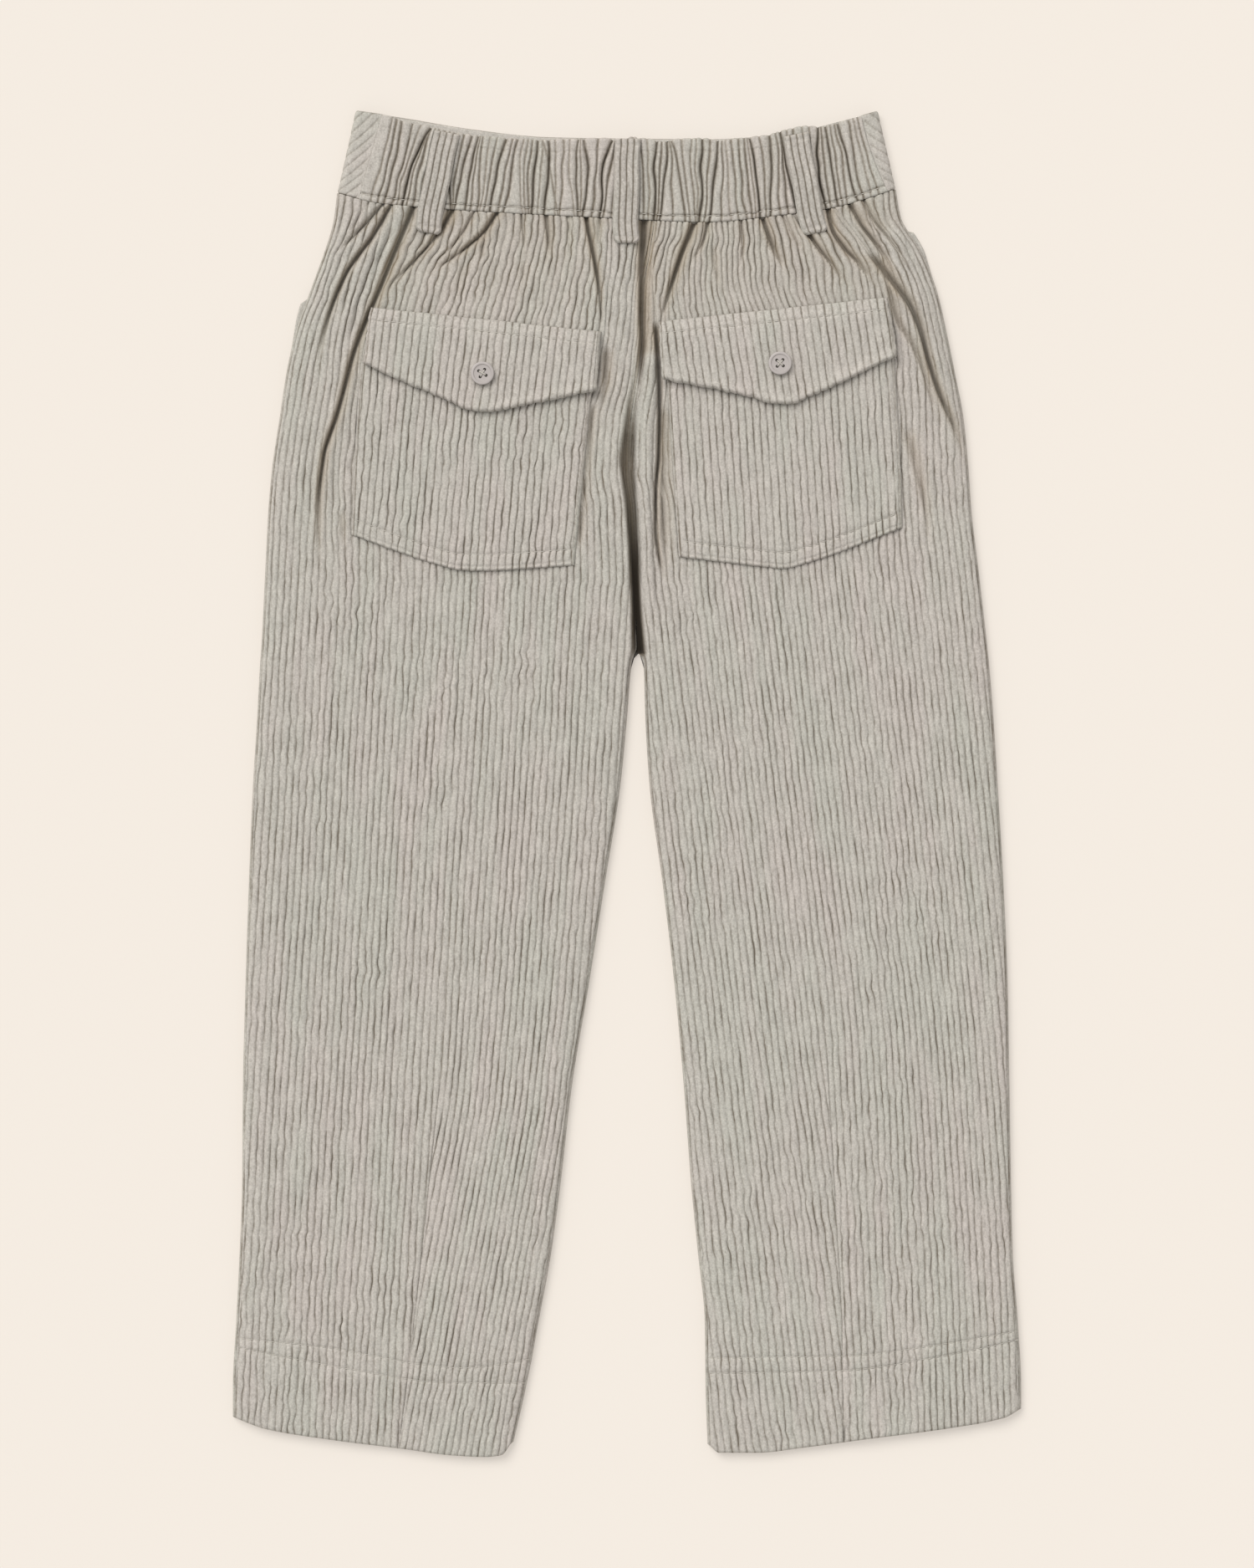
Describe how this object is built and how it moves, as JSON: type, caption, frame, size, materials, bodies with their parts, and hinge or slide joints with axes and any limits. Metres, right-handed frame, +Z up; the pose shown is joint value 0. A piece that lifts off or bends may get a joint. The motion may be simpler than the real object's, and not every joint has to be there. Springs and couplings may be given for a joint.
{
  "type": "corduroy trousers",
  "caption": "Child's wide-leg pull-on corduroy trousers laid flat, back uppermost, with gathered waist, belt loops and buttoned flap pockets.",
  "frame": {"origin": "on the surface that the trousers lie on, under the middle of their outline", "axes": "+X towards the wearer's right side, +Y from hems to waist, +Z up from the surface, out of the back of the trousers"},
  "size_m": [0.3768, 0.6432, 0.0152],
  "materials": {
    "corduroy": "wide-wale cotton corduroy, short soft pile, matt with a faint sheen along the wales",
    "button": "satin moulded four-hole button"
  },
  "bodies": {
    "root": {"front_panel_left": "corduroy", "front_panel_right": "corduroy", "front_pocket_left": "corduroy", "front_pocket_right": "corduroy", "back_panel_left": "corduroy", "back_panel_right": "corduroy", "back_pocket_left": "corduroy", "back_pocket_right": "corduroy", "pocket_flap_left": "corduroy", "pocket_flap_right": "corduroy", "belt_loop_left": "corduroy", "belt_loop_centre": "corduroy", "belt_loop_right": "corduroy", "waistband_front": "corduroy", "waistband_back": "corduroy", "button_left": "button", "button_right": "button"}
  },
  "joints": []
}
